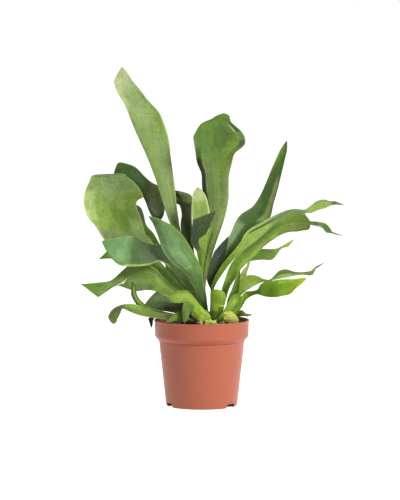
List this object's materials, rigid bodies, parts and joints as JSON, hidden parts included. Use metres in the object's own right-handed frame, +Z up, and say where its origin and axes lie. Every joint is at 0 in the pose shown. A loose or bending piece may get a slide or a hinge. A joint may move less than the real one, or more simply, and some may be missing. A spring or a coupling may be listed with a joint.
{
  "type": "potted staghorn fern",
  "caption": "Staghorn fern with upright and spreading strap-shaped fronds, some forked or lobed, growing from a low crown in a round plastic nursery pot.",
  "frame": {"origin": "centre of the pot's underside, on the surface that the pot stands on", "axes": "+Z up along the pot's axis, -Y towards the fern's front, +X to the right seen from the front"},
  "size_m": [0.3373, 0.2192, 0.4311],
  "materials": {
    "pot_plastic": "satin",
    "soil": "matte",
    "rhizome": "matte",
    "grey_green_frond": "satin",
    "blue_green_frond": "satin",
    "deep_green_frond": "satin",
    "mid_green_frond": "satin",
    "bright_green_frond": "satin",
    "papery_frond": "matte",
    "withered_frond": "matte"
  },
  "bodies": {
    "root": {"pot": "pot_plastic", "soil": "soil", "rhizome": "rhizome", "tall_frond": "grey_green_frond", "round_frond": "grey_green_frond", "folded_frond": "grey_green_frond", "reaching_frond": "blue_green_frond", "front_frond": "blue_green_frond", "back_fork_frond": "deep_green_frond", "spear_frond": "deep_green_frond", "shaded_frond": "deep_green_frond", "narrow_frond": "deep_green_frond", "grey_frond": "deep_green_frond", "rear_left_frond": "deep_green_frond", "back_frond": "deep_green_frond", "low_back_frond": "deep_green_frond", "rear_right_frond": "deep_green_frond", "paddle_frond": "mid_green_frond", "wide_left_frond": "mid_green_frond", "spoon_frond": "mid_green_frond", "tip_frond": "mid_green_frond", "hook_frond": "mid_green_frond", "low_left_frond": "mid_green_frond", "upright_young_frond": "mid_green_frond", "right_rim_leaf": "mid_green_frond", "rim_leaf": "mid_green_frond", "fork_frond": "bright_green_frond", "short_right_frond": "bright_green_frond", "wavy_frond": "bright_green_frond", "bright_frond": "bright_green_frond", "arch_frond": "bright_green_frond", "crown_frond": "bright_green_frond", "young_shield_frond": "bright_green_frond", "pale_young_frond": "bright_green_frond", "papery_shield_frond": "papery_frond", "withered_leaf": "withered_frond"}
  },
  "joints": []
}
